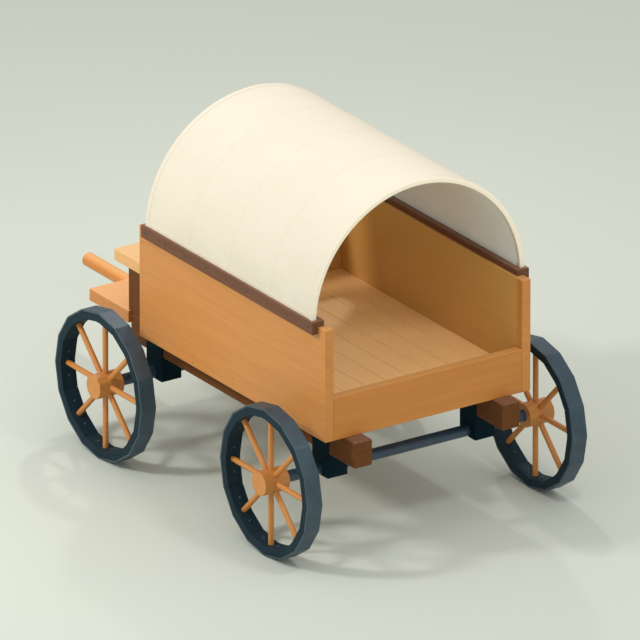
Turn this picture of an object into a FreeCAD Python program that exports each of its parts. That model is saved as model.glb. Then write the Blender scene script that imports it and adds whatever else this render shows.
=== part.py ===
# Covered wagon: a short four-wheeled farm wagon with a board box, a canvas tilt on the
# top rails, a driver's seat over the front, and one fixed pole.
# Millimetres. X points forward, Y to the left, Z up. The origin is on the ground, under
# the middle of the whole wagon with its pole.
import FreeCAD, Part
import math
import os

from FreeCAD import Vector

# ---- driving dimensions ----------------------------------------------------------------

# box
box_length = 2376.0          # over the side panels
box_width = 1745.0           # over the side panels' outer faces
side_height = 852.0
side_thickness = 72.0
tailboard_height = 328.0
tailboard_thickness = 70.0
front_board_thickness = 75.0
tongue_thickness = 25.0      # end boards are tongued into grooves in the side panels
tongue_length = 20.0
board_arris = 3.0            # eased edges of the big boards

# floor
floor_top = 159.0            # above the bottom of the box
plank_thickness = 40.0
plank_count = 9
plank_gap = 2.5
bearer_width = 90.0
bearer_count = 5
bearer_end_inset = 60.0      # from the tailboard and the front board

# top rails and canvas
rail_width = 102.0
rail_proud = 49.0            # stands out past the side panel
rail_height = 97.0
rail_top_above_side = 45.0
rail_end_inset = 92.0
canopy_proud = 34.5          # outside of the canvas past the side panel
canopy_thickness = 40.0      # hem, bows in their sleeves and canvas together
canopy_end_inset = 121.0

# sills
sill_width = 149.0
sill_height = 198.0
sill_inset = 170.0           # from the side panel's outer face
sill_rear_overhang = 120.0
sill_front_overhang = 371.0
sill_arris = 6.0

# running gear
rear_axle_inset = 308.0      # ahead of the rear of the box
front_axle_ahead = 57.0      # ahead of the front of the box
axle_below_box = 335.0
axle_radius = 42.5
block_length = 200.0
block_width = 172.0
block_depth = 386.0          # from the top of the sill to the foot of the block
block_arris = 5.0

# wheels
wheel_across_corners = 1120.0
corner_flat = 14.0           # each corner of the tyre is dressed to this narrow flat
spoke_count = 8
rim_thickness = 69.0         # tyre and felloe together, measured at a corner
rim_width = 123.0
tyre_thickness = 12.0
felloe_gap = 1.5             # each joint is left open so that the tyre draws the wheel tight
wheel_standoff = 253.5       # from the side panel to the middle of the rim
hub_across_corners = 180.0
hub_sides = 12
hub_length = 206.0
hub_end_wall = 25.0          # closes the outer end of the bore
spindle_radius = 32.0
spindle_end_gap = 4.0
spoke_radius = 20.5
tongue_width = 24.0          # square outer end of a spoke, through the felloe
tenon_width = 22.0           # foot of a spoke, across the wheel's plane of turning
tenon_length = 32.0          # the same, along the axle
mortise_wall = 11.5          # wood left between a mortise and the bore

# driver's seat and footboard
seat_inset = 149.0           # from the side panel's outer face, also the footboard's
seat_top = 446.0
seat_thickness = 87.0
seat_front_ahead = 554.0     # ahead of the box
seat_depth = 500.0
riser_thickness = 60.0
riser_front_ahead = 398.0
footboard_top = 27.0
footboard_thickness = 92.0
footboard_front_ahead = 878.0
foot_bearer_width = 50.0
foot_bearer_height = 100.0
foot_bearer_front_ahead = 800.0
foot_bearer_nose = 55.0      # height left at the tip

# pole and what holds it
pole_radius = 52.0
pole_seat_radius = 50.0      # turned down where it passes the hanger and fills the socket
pole_below_box = 296.0
pole_tip_ahead = 2001.0
pole_tip_chamfer = 7.0
socket_wall = 16.0
socket_length = 190.0        # from the axle's centre
socket_floor = 70.0          # from the axle's centre to the pole's butt
socket_arris = 14.0
crossbar_length = 90.0       # along the wagon
crossbar_height = 120.0
crossbar_front_ahead = 340.0
crossbar_top_below = 70.0
hanger_thickness = 40.0
hanger_wall = 16.0
hanger_flange_thickness = 14.0
hanger_flange_width = 200.0

# clearances
seat_gap = 0.3               # between pieces that are bolted or bound together
running_gap = 0.5            # hub bore round its spindle
shoulder_gap = 1.0           # hub face to axle shoulder
tenon_gap = 0.25             # spoke foot in its mortise, tongue in its hole

# ---- places worked out from them -------------------------------------------------------

rim_sides = 2 * spoke_count                                 # two faces to each felloe
half_corner = math.pi / rim_sides
wheel_radius = wheel_across_corners / 2                     # it stands on a dressed corner
overall_length = wheel_radius - rear_axle_inset + box_length + pole_tip_ahead

rear_axle_x = wheel_radius - overall_length / 2
box_rear_x = rear_axle_x - rear_axle_inset
box_front_x = box_rear_x + box_length
front_axle_x = box_front_x + front_axle_ahead

axle_z = wheel_radius
box_z = axle_z + axle_below_box
sill_z = box_z - sill_height

half_width = box_width / 2
inner_half_width = half_width - side_thickness
inner_rear_x = box_rear_x + tailboard_thickness
inner_front_x = box_front_x - front_board_thickness
plank_z = box_z + floor_top - plank_thickness
rail_top_z = box_z + side_height + rail_top_above_side
canopy_radius = half_width + canopy_proud
sill_outer_y = half_width - sill_inset
sill_centre_y = sill_outer_y - sill_width / 2
sill_inner_y = sill_outer_y - sill_width
wheel_centre_y = half_width + wheel_standoff
seat_half_width = half_width - seat_inset
sill_front_x = box_front_x + sill_front_overhang
foot_bearer_inner_y = sill_inner_y - seat_gap - foot_bearer_width
pole_z = box_z - pole_below_box
hanger_front_x = box_front_x + crossbar_front_ahead - (crossbar_length - hanger_thickness) / 2

hub_apothem = hub_across_corners / 2 * math.cos(math.pi / hub_sides)
mortise_floor = spindle_radius + running_gap + mortise_wall
tyre_corner = wheel_radius + corner_flat / 2 * math.tan(half_corner)    # before dressing
felloe_outer_corner = tyre_corner - tyre_thickness / math.cos(half_corner)
felloe_inner_corner = wheel_radius - rim_thickness
spoke_seat_half = spoke_radius + tenon_gap          # flat pared across a felloe's inner corner
spoke_seat = felloe_inner_corner - spoke_seat_half * math.tan(half_corner)

# boards across the ends of the box: where each lies along X, and its height
end_boards = {
    "tailboard": ((box_rear_x, inner_rear_x), tailboard_height),
    "front_board": ((inner_front_x, box_front_x), side_height),
}

pieces = {}


# ---- shapes used all over --------------------------------------------------------------

def block(x_range, y_range, z_range):
    size = [high - low for low, high in (x_range, y_range, z_range)]
    return Part.makeBox(*size, Vector(x_range[0], y_range[0], z_range[0]))


def eased(solid, size):
    """Chamfers every edge of a plain board."""
    return solid.makeChamfer(size, solid.Edges)


def rod_y(radius, length, middle):
    return Part.makeCylinder(radius, length, middle - Vector(0, length / 2, 0), Vector(0, 1, 0))


def rod_x(radius, x_range, y, z):
    low, high = x_range
    return Part.makeCylinder(radius, high - low, Vector(low, y, z), Vector(1, 0, 0))


def prism_y(points, width):
    """Closed outline of (x, z) points, extruded along Y and centred on Y = 0."""
    corners = [Vector(x, -width / 2, z) for x, z in points]
    face = Part.Face(Part.makePolygon(corners + corners[:1]))
    return face.extrude(Vector(0, width, 0))


def polygon(corner_radius, sides):
    """Regular outline with a corner at the top."""
    turns = [k * 2 * math.pi / sides for k in range(sides)]
    return [(corner_radius * math.sin(a), corner_radius * math.cos(a)) for a in turns]


def turned(shape, degrees):
    """Copy turned about the wheel's own axis."""
    copy = shape.copy()
    copy.rotate(Vector(0, 0, 0), Vector(0, 1, 0), degrees)
    return copy


def moved(shape, x, y, z):
    copy = shape.copy()
    copy.translate(Vector(x, y, z))
    return copy


def mirrored(shape):
    """The same piece for the other side of the wagon."""
    return shape.mirror(Vector(0, 0, 0), Vector(0, 1, 0))


def add_pair(name, left):
    pieces[name + "_left"] = left
    pieces[name + "_right"] = mirrored(left)


# ---- box -------------------------------------------------------------------------------

def tongues(x_range, height, gap=0.0):
    """Bar whose ends are an end board's tongues, or with a gap the grooves for them."""
    middle = sum(x_range) / 2
    half = tongue_thickness / 2 + gap
    reach = inner_half_width + tongue_length + gap
    top = box_z + height - 2 * board_arris + gap
    return block((middle - half, middle + half), (-reach, reach), (box_z, top))


def side_panel():
    panel = block(
        (box_rear_x, box_front_x),
        (inner_half_width, half_width),
        (box_z, box_z + side_height),
    )
    grooves = [tongues(x_range, height, seat_gap) for x_range, height in end_boards.values()]
    return eased(panel, board_arris).cut(grooves)


def end_board(x_range, height):
    width = (-inner_half_width, inner_half_width)
    board = eased(block(x_range, width, (box_z, box_z + height)), board_arris)
    return board.fuse(tongues(x_range, height)).removeSplitter()


def floor_boards():
    pitch = 2 * inner_half_width / plank_count
    boards = []
    for k in range(plank_count):
        right_edge = -inner_half_width + k * pitch + plank_gap / 2
        board = block(
            (inner_rear_x + seat_gap, inner_front_x - seat_gap),
            (right_edge, right_edge + pitch - plank_gap),
            (plank_z, plank_z + plank_thickness),
        )
        boards.append(board)
    return Part.makeCompound(boards)


def floor_bearers():
    first = inner_rear_x + bearer_end_inset
    last = inner_front_x - bearer_end_inset - bearer_width
    pitch = (last - first) / (bearer_count - 1)
    bearers = []
    for k in range(bearer_count):
        x = first + k * pitch
        bearers.append(block(
            (x, x + bearer_width),
            (-inner_half_width + seat_gap, inner_half_width - seat_gap),
            (box_z, plank_z),
        ))
    return Part.makeCompound(bearers)


def top_rail():
    """Square rail with a rebate that laps over the top outer corner of the side panel."""
    outer_y = half_width + rail_proud
    x_range = (box_rear_x + rail_end_inset, box_front_x - rail_end_inset)
    rail = block(x_range, (outer_y - rail_width, outer_y), (rail_top_z - rail_height, rail_top_z))
    rail = eased(rail, board_arris)
    rebate = block(
        (box_rear_x, box_front_x),
        (0, half_width + seat_gap),
        (0, box_z + side_height),
    )
    return rail.cut(rebate)


def canopy():
    """Canvas tilt: half a tube, open at both ends, standing on the top rails."""
    x_range = (box_rear_x + canopy_end_inset, box_front_x - canopy_end_inset)
    arch_z = box_z + side_height
    tube = rod_x(canopy_radius, x_range, 0, arch_z)
    hollow = rod_x(canopy_radius - canopy_thickness, x_range, 0, arch_z)
    above_rails = block(
        x_range,
        (-canopy_radius, canopy_radius),
        (rail_top_z + seat_gap, arch_z + canopy_radius),
    )
    return tube.cut(hollow).common(above_rails)


# ---- sills, axle blocks and axles ------------------------------------------------------

def sill():
    beam = block(
        (box_rear_x - sill_rear_overhang, sill_front_x),
        (sill_inner_y, sill_outer_y),
        (sill_z, box_z),
    )
    return eased(beam, sill_arris)


def axle_block(axle_x):
    """Yoke notched up over the sill, bored for the axle below it."""
    half = block_length / 2
    body = block(
        (axle_x - half, axle_x + half),
        (sill_centre_y - block_width / 2, sill_centre_y + block_width / 2),
        (box_z - block_depth, box_z),
    )
    body = eased(body, block_arris)
    notch = block(
        (axle_x - block_length, axle_x + block_length),
        (sill_inner_y - seat_gap, sill_outer_y + seat_gap),
        (sill_z - seat_gap, box_z + block_depth),
    )
    bore = rod_y(axle_radius + seat_gap, 2 * block_width, Vector(axle_x, sill_centre_y, axle_z))
    return body.cut(notch).cut(bore)


def axle(axle_x):
    """Round bar, stepped down at a shoulder to the spindle that each hub runs on."""
    shoulder_y = wheel_centre_y - hub_length / 2 - shoulder_gap
    spindle_y = wheel_centre_y + hub_length / 2 - hub_end_wall - spindle_end_gap
    bar = rod_y(axle_radius, 2 * shoulder_y, Vector(axle_x, 0, axle_z))
    spindle = rod_y(spindle_radius, 2 * spindle_y, Vector(axle_x, 0, axle_z))
    return bar.fuse(spindle)


# ---- wheels, each made round the origin with its outer face towards +Y -------------------

def tyre():
    """Iron band whose corners are dressed to the wheel's radius."""
    ring = prism_y(polygon(tyre_corner, rim_sides), rim_width)
    dressed = prism_y(polygon(wheel_radius / math.cos(half_corner), rim_sides), rim_width)
    ring = ring.common(turned(dressed, 180.0 / rim_sides))
    return ring.cut(prism_y(polygon(felloe_outer_corner, rim_sides), 2 * rim_width))


def felloe_end(corner_radius, side):
    """Where a felloe's face stops, half the open joint short of the corner half way to a spoke."""
    half_pitch = math.pi / spoke_count
    end = Vector(side * corner_radius * math.sin(half_pitch), 0, corner_radius * math.cos(half_pitch))
    along_face = (Vector(0, 0, corner_radius) - end).normalize()
    point = end + along_face * (felloe_gap / 2 / math.cos(half_corner))
    return point.x, point.z


def felloes():
    """One felloe to a spoke, jointed at the corners half way to the next spokes.

    Its middle corner is left flat inside as the seat of the spoke's shoulder.
    """
    outline = [
        felloe_end(felloe_outer_corner, -1),
        (0, felloe_outer_corner),
        felloe_end(felloe_outer_corner, 1),
        felloe_end(felloe_inner_corner, 1),
        (spoke_seat_half, spoke_seat),
        (-spoke_seat_half, spoke_seat),
        felloe_end(felloe_inner_corner, -1),
    ]
    felloe = prism_y(outline, rim_width)
    edge = tongue_width / 2 + tenon_gap
    felloe = felloe.cut(block((-edge, edge), (-edge, edge), (0, wheel_radius)))
    pitch = 360.0 / spoke_count
    return Part.makeCompound([turned(felloe, k * pitch) for k in range(spoke_count)])


def spokes():
    """Round spokes, shouldered to the sides of the hub and on the felloes' seats.

    Each has a flat foot in the hub's mortise and a square tongue through its felloe.
    """
    body = Part.makeCylinder(spoke_radius, spoke_seat - mortise_floor, Vector(0, 0, mortise_floor))
    edge = tongue_width / 2
    tongue_end = felloe_outer_corner - edge * math.tan(half_corner) - tenon_gap
    tongue = block((-edge, edge), (-edge, edge), (spoke_seat - tongue_width, tongue_end))
    foot = block(
        (-tenon_width / 2, tenon_width / 2),
        (-tenon_length / 2, tenon_length / 2),
        (mortise_floor + tenon_gap, hub_apothem + tenon_width),
    )
    hub_body = prism_y(polygon(hub_across_corners / 2, hub_sides), hub_length)
    pitch = 360.0 / spoke_count
    wheel = []
    for k in range(spoke_count):
        shouldered = turned(body, k * pitch).cut(hub_body)
        ends = [turned(tongue, k * pitch), turned(foot, k * pitch)]
        wheel.append(shouldered.fuse(ends).removeSplitter())
    return Part.makeCompound(wheel)


def hub():
    """Twelve-sided hub: a mortise to each spoke, and a bore that stops short of the outer end."""
    body = prism_y(polygon(hub_across_corners / 2, hub_sides), hub_length)
    bore_depth = hub_length - hub_end_wall
    bore = Part.makeCylinder(
        spindle_radius + running_gap, bore_depth, Vector(0, -hub_length / 2, 0), Vector(0, 1, 0))
    mortise = block(
        (-tenon_width / 2 - tenon_gap, tenon_width / 2 + tenon_gap),
        (-tenon_length / 2 - tenon_gap, tenon_length / 2 + tenon_gap),
        (mortise_floor, 2 * hub_apothem),
    )
    pitch = 360.0 / spoke_count
    return body.cut([bore] + [turned(mortise, k * pitch) for k in range(spoke_count)])


def add_wheels():
    makers = (("tyre", tyre()), ("felloes", felloes()), ("spokes", spokes()), ("hub", hub()))
    # name, axle position, side of the wagon
    places = (
        ("rear_left", rear_axle_x, 1),
        ("rear_right", rear_axle_x, -1),
        ("front_left", front_axle_x, 1),
        ("front_right", front_axle_x, -1),
    )
    for place, x, side in places:
        for piece, shape in makers:
            facing = shape if side > 0 else mirrored(shape)
            pieces[piece + "_" + place] = moved(facing, x, side * wheel_centre_y, axle_z)


# ---- seat, footboard, pole -------------------------------------------------------------

def seat_board():
    front = box_front_x + seat_front_ahead
    top = box_z + seat_top
    board = block(
        (front - seat_depth, front),
        (-seat_half_width, seat_half_width),
        (top - seat_thickness, top),
    )
    return eased(board, board_arris)


def seat_riser():
    """Upright board on the sill, notched over the back edge of the footboard."""
    riser_front_x = box_front_x + riser_front_ahead
    riser = block(
        (box_front_x, riser_front_x),
        (sill_outer_y - riser_thickness, sill_outer_y),
        (box_z, box_z + seat_top - seat_thickness),
    )
    notch = block(
        (sill_front_x - seat_gap, riser_front_x + riser_thickness),
        (0, half_width),
        (0, box_z + footboard_top + seat_gap),
    )
    return eased(riser, board_arris / 2).cut(notch)


def seat_floor():
    """Boards under the seat, on the sills between the risers, level with the footboard."""
    edge = sill_outer_y - riser_thickness - seat_gap
    return block((box_front_x, sill_front_x), (-edge, edge), (box_z, box_z + footboard_top))


def footboard():
    board = block(
        (sill_front_x, box_front_x + footboard_front_ahead),
        (-seat_half_width, seat_half_width),
        (box_z + footboard_top - footboard_thickness, box_z + footboard_top),
    )
    return eased(board, board_arris)


def footboard_bearer():
    """Bracket timber on the sill's inner face, from the axle block out under the footboard."""
    rear = front_axle_x + block_length / 2 + seat_gap
    front = box_front_x + foot_bearer_front_ahead
    top = box_z + footboard_top - footboard_thickness
    outline = [
        (rear, top),
        (front, top),
        (front, top - foot_bearer_nose),
        (sill_front_x, top - foot_bearer_height),
        (rear, top - foot_bearer_height),
    ]
    middle_y = foot_bearer_inner_y + foot_bearer_width / 2
    return moved(prism_y(outline, foot_bearer_width), 0, middle_y, 0)


def front_crossbar():
    front = box_front_x + crossbar_front_ahead
    top = box_z - crossbar_top_below
    edge = foot_bearer_inner_y - seat_gap
    return block(
        (front - crossbar_length, front), (-edge, edge), (top - crossbar_height, top))


def pole_hanger():
    """Iron bracket bolted up under the crossbar, with an eye round the pole."""
    crossbar_z = box_z - crossbar_top_below - crossbar_height
    x_range = (hanger_front_x - hanger_thickness, hanger_front_x)
    edge = pole_seat_radius + seat_gap + hanger_wall
    middle_x = box_front_x + crossbar_front_ahead - crossbar_length / 2
    flange = block(
        (middle_x - crossbar_length / 2, middle_x + crossbar_length / 2),
        (-hanger_flange_width / 2, hanger_flange_width / 2),
        (crossbar_z - hanger_flange_thickness, crossbar_z),
    )
    plate = block(x_range, (-edge, edge), (pole_z - edge, crossbar_z))
    foot = [e for e in plate.Edges if e.BoundBox.ZMax < pole_z and e.BoundBox.YLength < board_arris]
    plate = plate.makeChamfer(hanger_wall, [e for e in foot if e.BoundBox.XLength > board_arris])
    bore = rod_x(pole_seat_radius + seat_gap, x_range, 0, pole_z)
    return flange.fuse(plate).removeSplitter().cut(bore)


def pole_socket():
    """Iron casting, bored across for the front axle and from the front for the pole's butt."""
    axle_reach = axle_radius + socket_wall
    pole_reach = pole_seat_radius + socket_wall
    mouth_x = front_axle_x + socket_length
    body = block(
        (front_axle_x - axle_reach, mouth_x),
        (-pole_reach, pole_reach),
        (min(axle_z - axle_reach, pole_z - pole_reach), pole_z + pole_reach),
    )
    long_edges = [e for e in body.Edges if e.BoundBox.XLength > socket_length]
    body = body.makeChamfer(socket_arris, long_edges)
    axle_bore = rod_y(axle_radius + seat_gap, 4 * pole_reach, Vector(front_axle_x, 0, axle_z))
    pole_bore = rod_x(
        pole_seat_radius + seat_gap, (front_axle_x + socket_floor, mouth_x), 0, pole_z)
    return body.cut([axle_bore, pole_bore])


def pole():
    """Round pole with its butt turned down to a shoulder that stops against the hanger."""
    butt_x = front_axle_x + socket_floor + seat_gap
    tip_x = box_front_x + pole_tip_ahead
    shaft = rod_x(pole_radius, (hanger_front_x + seat_gap, tip_x), 0, pole_z)
    tip = [e for e in shaft.Edges if e.BoundBox.XMin > tip_x - pole_tip_chamfer]
    shaft = shaft.makeChamfer(pole_tip_chamfer, tip)
    butt = rod_x(pole_seat_radius, (butt_x, tip_x - pole_radius), 0, pole_z)
    return shaft.fuse(butt).removeSplitter()


# ---- the whole wagon -------------------------------------------------------------------

add_pair("side_panel", side_panel())
for name, (x_range, height) in end_boards.items():
    pieces[name] = end_board(x_range, height)
pieces["floor_boards"] = floor_boards()
pieces["floor_bearers"] = floor_bearers()
add_pair("top_rail", top_rail())
pieces["canopy"] = canopy()
add_pair("sill", sill())
for end, end_axle_x in (("rear", rear_axle_x), ("front", front_axle_x)):
    add_pair("axle_block_" + end, axle_block(end_axle_x))
    pieces["axle_" + end] = axle(end_axle_x)
add_wheels()
pieces["seat_board"] = seat_board()
add_pair("seat_riser", seat_riser())
pieces["seat_floor"] = seat_floor()
pieces["footboard"] = footboard()
add_pair("footboard_bearer", footboard_bearer())
pieces["front_crossbar"] = front_crossbar()
pieces["pole_hanger"] = pole_hanger()
pieces["pole_socket"] = pole_socket()
pieces["pole"] = pole()

os.makedirs("parts", exist_ok=True)
for name, shape in pieces.items():
    shape.exportStep("parts/" + name + ".step")
    print(name, len(shape.Solids), "solids", round(shape.Volume / 1e6, 2), "litres")
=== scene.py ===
import math
import random

import bpy
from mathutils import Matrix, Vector
from mathutils.bvhtree import BVHTree


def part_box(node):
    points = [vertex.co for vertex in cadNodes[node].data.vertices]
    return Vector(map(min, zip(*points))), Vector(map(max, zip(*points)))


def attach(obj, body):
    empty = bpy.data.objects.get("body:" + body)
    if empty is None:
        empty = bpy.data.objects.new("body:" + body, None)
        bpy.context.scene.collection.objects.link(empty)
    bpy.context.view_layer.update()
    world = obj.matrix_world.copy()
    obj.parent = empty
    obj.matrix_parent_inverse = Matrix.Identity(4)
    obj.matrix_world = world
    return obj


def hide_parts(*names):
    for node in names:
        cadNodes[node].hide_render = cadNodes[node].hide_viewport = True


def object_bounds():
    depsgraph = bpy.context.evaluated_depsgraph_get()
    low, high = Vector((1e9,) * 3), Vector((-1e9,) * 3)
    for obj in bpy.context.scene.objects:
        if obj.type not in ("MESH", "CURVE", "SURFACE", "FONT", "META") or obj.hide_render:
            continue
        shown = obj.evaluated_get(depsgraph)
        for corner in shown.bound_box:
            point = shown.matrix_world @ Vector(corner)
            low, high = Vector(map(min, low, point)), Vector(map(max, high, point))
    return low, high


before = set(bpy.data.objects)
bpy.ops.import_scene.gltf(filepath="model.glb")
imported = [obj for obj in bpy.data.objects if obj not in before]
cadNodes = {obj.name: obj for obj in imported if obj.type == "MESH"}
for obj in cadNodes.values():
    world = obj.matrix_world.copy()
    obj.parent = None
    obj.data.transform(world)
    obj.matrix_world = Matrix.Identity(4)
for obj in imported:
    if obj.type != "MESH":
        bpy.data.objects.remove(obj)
cadLow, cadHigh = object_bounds()
print("frame loaded,", len(cadNodes), "nodes")


# camera: far away with a long lens, behind the left rear corner and a little above
cameraSetup = {
    "azimuth": 236.29,      # degrees round the wagon, 0 looks along +Y
    "elevation": 22.53,
    "distance": 205.0,
    "widthSeen": 4.5376,    # metres across the frame at the wagon
    "sensor": 36.0,
    "clip": (1.0, 615.0),
    "aimFromMiddle": (-0.6884, 0.0, -0.1675),   # from the middle of the whole wagon
}


def placeCamera(setup):
    middle = (cadLow + cadHigh) / 2
    aim = middle + Vector(setup["aimFromMiddle"])
    turn, rise = math.radians(setup["azimuth"]), math.radians(setup["elevation"])
    level = math.cos(rise)
    back = Vector((math.sin(turn) * level, -math.cos(turn) * level, math.sin(rise)))
    lensData = bpy.data.cameras.new("wagonCamera")
    lensData.sensor_width = setup["sensor"]
    lensData.lens = setup["sensor"] * setup["distance"] / setup["widthSeen"]
    lensData.clip_start, lensData.clip_end = setup["clip"]
    camera = bpy.data.objects.new("wagonCamera", lensData)
    bpy.context.scene.collection.objects.link(camera)
    camera.location = aim + back * setup["distance"]
    camera.rotation_mode = "QUATERNION"
    camera.rotation_quaternion = (-back).to_track_quat("-Z", "Y")
    bpy.context.scene.camera = camera


placeCamera(cameraSetup)
bpy.context.scene.view_settings.view_transform = "Standard"


def tone(red, green, blue):
    # a screen colour, 0 to 255, as the linear colour that a shader takes
    def linear(value):
        value /= 255
        return value / 12.92 if value <= 0.04045 else ((value + 0.055) / 1.055) ** 2.4
    return (linear(red), linear(green), linear(blue), 1.0)


def middleOf(node):
    low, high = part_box(node)
    return (low + high) / 2


# node helpers: a feed is a socket to join or a plain value to set
def feed(tree, node, feeds):
    for socket, value in feeds.items():
        if isinstance(value, bpy.types.NodeSocket):
            tree.links.new(value, node.inputs[socket])
        else:
            node.inputs[socket].default_value = value


def addNode(tree, kind, feeds=None, **settings):
    node = tree.nodes.new(kind)
    for key, value in settings.items():
        setattr(node, key, value)
    feed(tree, node, feeds or {})
    return node


def reckon(tree, operation, *values):
    feeds = dict(enumerate(values))
    return addNode(tree, "ShaderNodeMath", feeds, operation=operation).outputs[0]


def times(tree, first, *others):
    for other in others:
        first = reckon(tree, "MULTIPLY", first, other)
    return first


def stretch(tree, place, factors):
    feeds = {0: place, 1: factors}
    return addNode(tree, "ShaderNodeVectorMath", feeds, operation="MULTIPLY").outputs[0]


def split(tree, place):
    return addNode(tree, "ShaderNodeSeparateXYZ", {0: place}).outputs


def join(tree, *parts):
    return addNode(tree, "ShaderNodeCombineXYZ", dict(enumerate(parts))).outputs[0]


def remap(tree, value, fromLow, fromHigh, toLow=0.0, toHigh=1.0, smooth=False):
    feeds = {"Value": value, "From Min": fromLow, "From Max": fromHigh,
             "To Min": toLow, "To Max": toHigh}
    kind = "SMOOTHSTEP" if smooth else "LINEAR"
    return addNode(tree, "ShaderNodeMapRange", feeds, interpolation_type=kind).outputs["Result"]


def noise(tree, place, scale=1.0, detail=2.0, roughness=0.5):
    feeds = {"Vector": place, "Scale": scale, "Detail": detail, "Roughness": roughness}
    return addNode(tree, "ShaderNodeTexNoise", feeds).outputs


def blendColours(tree, amount, first, second):
    feeds = {0: amount, 6: first, 7: second}
    return addNode(tree, "ShaderNodeMix", feeds, data_type="RGBA").outputs[2]


def tint(tree, colour, mask, amount, second):
    # lays the second colour on where the mask is, up to the amount
    return blendColours(tree, times(tree, mask, amount), colour, second)


def startGroup(name, takes, gives):
    # Place and Rounded are vectors, every other socket is a plain number
    group = bpy.data.node_groups.new(name, "ShaderNodeTree")
    for way, labels in (("INPUT", takes), ("OUTPUT", gives)):
        for label in labels:
            kind = "NodeSocketVector" if label in ("Place", "Rounded") else "NodeSocketFloat"
            group.interface.new_socket(label, in_out=way, socket_type=kind)
    return group, group.nodes.new("NodeGroupInput").outputs, group.nodes.new("NodeGroupOutput")


def useGroup(tree, group, feeds):
    return addNode(tree, "ShaderNodeGroup", feeds, node_tree=group).outputs


def buildTimberGrain():
    # Place is in metres with the grain along X
    group, takes, gives = startGroup(
        "timberGrain", ("Place", "Bands"), ("Growth", "Fibre", "Height"))
    sway = noise(group, stretch(group, takes["Place"], (0.9, 3.0, 3.0)), detail=1.0)["Color"]
    swayed = addNode(group, "ShaderNodeVectorMath", {
        0: stretch(group, takes["Place"], (1.1, 24.0, 24.0)),
        1: stretch(group, sway, (0.0, 3.2, 3.2))}, operation="ADD").outputs[0]
    growth = noise(group, swayed, scale=takes["Bands"], roughness=0.55)["Fac"]
    fibre = noise(group, stretch(group, takes["Place"], (9.0, 330.0, 330.0)), roughness=0.6)["Fac"]
    growthTone = remap(group, growth, 0.3, 0.7, smooth=True)
    fibreTone = remap(group, fibre, 0.32, 0.68)
    height = reckon(group, "MULTIPLY_ADD", growthTone, 0.45, times(group, fibreTone, 0.55))
    feed(group, gives, {"Growth": growthTone, "Fibre": fibreTone, "Height": height})
    return group


def buildEdgeWear():
    # Wear is 1 on rubbed edges and corners, broken up so that no edge is worn evenly;
    # Rounded softens the same edges
    group, takes, gives = startGroup("edgeWear", ("Place", "Reach", "Amount"), ("Wear", "Rounded"))
    rounded = addNode(group, "ShaderNodeBevel", {"Radius": takes["Reach"]}, samples=6).outputs[0]
    flat = addNode(group, "ShaderNodeNewGeometry").outputs["Normal"]
    facing = addNode(group, "ShaderNodeVectorMath", {0: rounded, 1: flat}, operation="DOT_PRODUCT")
    edge = remap(group, facing.outputs["Value"], 0.995, 0.86)
    broken = remap(group, noise(group, takes["Place"], scale=7.0, detail=4.0)["Fac"], 0.36, 0.62)
    feed(group, gives, {"Wear": times(group, edge, broken, takes["Amount"]), "Rounded": rounded})
    return group


def buildBoardJoints():
    # splits a face into boards of one width: Joint is 1 in the line between two,
    # Board is one shade for each
    group, takes, gives = startGroup(
        "boardJoints", ("Across", "Width", "Line"), ("Joint", "Board"))
    count = reckon(group, "DIVIDE", takes["Across"], takes["Width"])
    part = reckon(group, "FRACT", count)
    near = reckon(group, "MINIMUM", part, reckon(group, "SUBTRACT", 1.0, part))
    near = times(group, near, takes["Width"])
    shade = addNode(group, "ShaderNodeTexWhiteNoise", {"W": reckon(group, "FLOOR", count)},
                    noise_dimensions="1D").outputs["Value"]
    feed(group, gives, {"Joint": remap(group, near, 0.0, takes["Line"], 1.0, 0.0), "Board": shade})
    return group


def buildLoadSide():
    # Inside is 1 on the faces that close the load space in, and Edge metres round their edges
    group, takes, gives = startGroup("loadSide", ("Place", "Edge"), ("Inside",))
    middle, high = middleOf("floor_boards"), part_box("floor_boards")[1]
    parts = split(group, takes["Place"])
    within = []
    for index in (0, 1):
        off = reckon(group, "ABSOLUTE", reckon(group, "SUBTRACT", parts[index], middle[index]))
        reach = reckon(group, "ADD", takes["Edge"], high[index] - middle[index])
        within.append(reckon(group, "LESS_THAN", off, reach))
    feed(group, gives, {"Inside": times(group, *within)})
    return group


def buildRoadDust():
    # Dust gathers low down in soft patches and fades out at Top, and faces that look down are
    # splashed all over; the second output is painted light: 1 on faces that look up, which are
    # then made paler to stand for light falling on their tops
    group, takes, gives = startGroup(
        "roadDust", ("Place", "Top", "Amount", "Under", "PaintedTopAmount"), ("Dust", "PaintedTopLight"))
    patch = noise(group, takes["Place"], scale=5.0, detail=5.0)["Fac"]
    low = remap(group, split(group, takes["Place"])["Z"], 0.0, takes["Top"], 1.0, 0.0)
    dust = times(group, low, remap(group, patch, 0.35, 0.75, smooth=True), takes["Amount"])
    facing = split(group, addNode(group, "ShaderNodeNewGeometry").outputs["True Normal"])["Z"]
    splashed = times(group, remap(group, facing, -0.5, -0.9), takes["Under"],
                     remap(group, patch, 0.3, 0.65, 0.3, 1.0))
    # painted light: a mask on faces that look up, for a paler tone that stands for light on them
    paintedLight = times(group, remap(group, facing, 0.3, 0.95), takes["PaintedTopAmount"],
                     remap(group, patch, 0.2, 0.8, 1.0, 0.85))
    feed(group, gives, {"Dust": reckon(group, "MAXIMUM", dust, splashed), "PaintedTopLight": paintedLight})
    return group


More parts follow.
